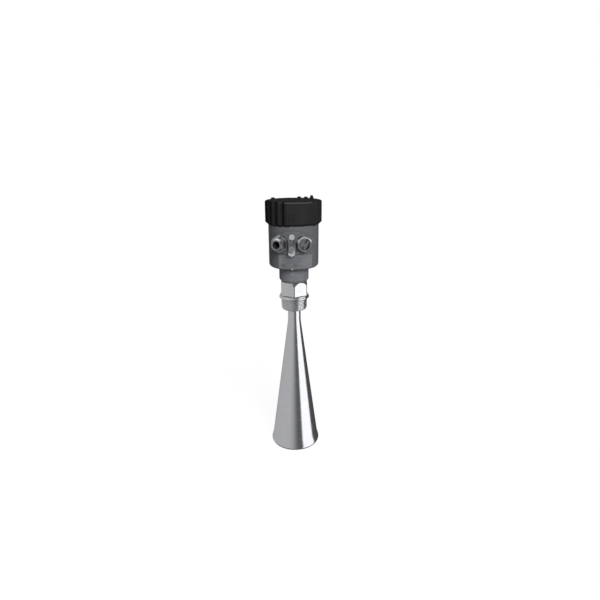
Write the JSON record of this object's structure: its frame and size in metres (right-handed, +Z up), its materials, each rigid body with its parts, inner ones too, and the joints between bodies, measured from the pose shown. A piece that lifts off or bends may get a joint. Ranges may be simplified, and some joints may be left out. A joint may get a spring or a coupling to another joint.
{
  "type": "radar level transmitter",
  "caption": "Compact radar level transmitter: turnable round head with a screw-on lid and side cable entries, hexagonal fitting with taper thread, long conical horn antenna.",
  "frame": {"origin": "centre of the sealing face under the fitting's collar", "axes": "+Z up the instrument's axis towards the lid, -Y towards the cable entries"},
  "size_m": [0.08, 0.0908, 0.3872],
  "materials": {
    "stainless": "polished stainless steel, fine turned grain",
    "plated": "nickel plate, satin",
    "screw_steel": "machined steel",
    "grey_coat": "grey powder coat on cast aluminium",
    "black_plastic": "moulded black plastic, fine texture",
    "rubber": "matt black elastomer",
    "ptfe": "white fluoropolymer",
    "potting": "dark moulded case with potting",
    "terminal_green": "green terminal block",
    "breather_grey": "light grey moulded plastic"
  },
  "bodies": {
    "process_side": {"horn_antenna": "stainless", "process_fitting": "stainless", "emitter_cone": "ptfe", "emitter_seal": "rubber", "waveguide_tube": "plated", "radar_module": "potting", "swivel_seals": "rubber", "swivel_stop_ring": "plated", "snap_ring": "screw_steel"},
    "head": {"housing_body": "grey_coat", "swivel_stop_pin": "screw_steel", "locking_screw": "screw_steel", "electronics_insert": "potting", "insert_screws": "screw_steel", "terminal_block": "terminal_green", "terminal_screws": "screw_steel", "inner_ground_screw": "screw_steel", "ground_clamp": "plated", "ground_spring_washer": "screw_steel", "ground_screw": "screw_steel", "breather_cap": "breather_grey", "breather_filter": "ptfe", "gland_seal_ring": "rubber", "gland_body": "plated", "gland_seal_insert": "rubber", "plug_seal_ring": "rubber", "blind_plug": "plated"},
    "lid_lift": {"lid_gasket": "rubber"},
    "lid": {"lid": "black_plastic"},
    "cap_nut_lift": {"gland_washer": "plated"},
    "cap_nut": {"gland_cap_nut": "plated"}
  },
  "joints": [
    {"name": "head_swivel", "type": "hinge", "parent": "process_side", "child": "head", "pos_m": [0, 0, 0.038], "axis": [0, 0, 1], "range_deg": [-165, 165]},
    {"name": "lid_rise", "type": "slide", "parent": "head", "child": "lid_lift", "axis": [0, 0, 1], "range_m": [0, 0.0121]},
    {"name": "lid_turn", "type": "hinge", "parent": "lid_lift", "child": "lid", "pos_m": [0, 0, 0.123], "axis": [0, 0, 1], "range_deg": [0, 2160]},
    {"name": "cap_nut_travel", "type": "slide", "parent": "head", "child": "cap_nut_lift", "axis": [-0.3906, -0.9205, 0], "range_m": [0, 0.0046]},
    {"name": "cap_nut_turn", "type": "hinge", "parent": "cap_nut_lift", "child": "cap_nut", "pos_m": [-0.01875, -0.04419, 0.086], "axis": [-0.3906, -0.9205, 0], "range_deg": [0, 1080]}
  ],
  "couplings": [
    {"joint": "lid_rise", "follows": "lid_turn", "m_per_rad": 0.00031831},
    {"joint": "cap_nut_travel", "follows": "cap_nut_turn", "m_per_rad": 0.00023873}
  ]
}
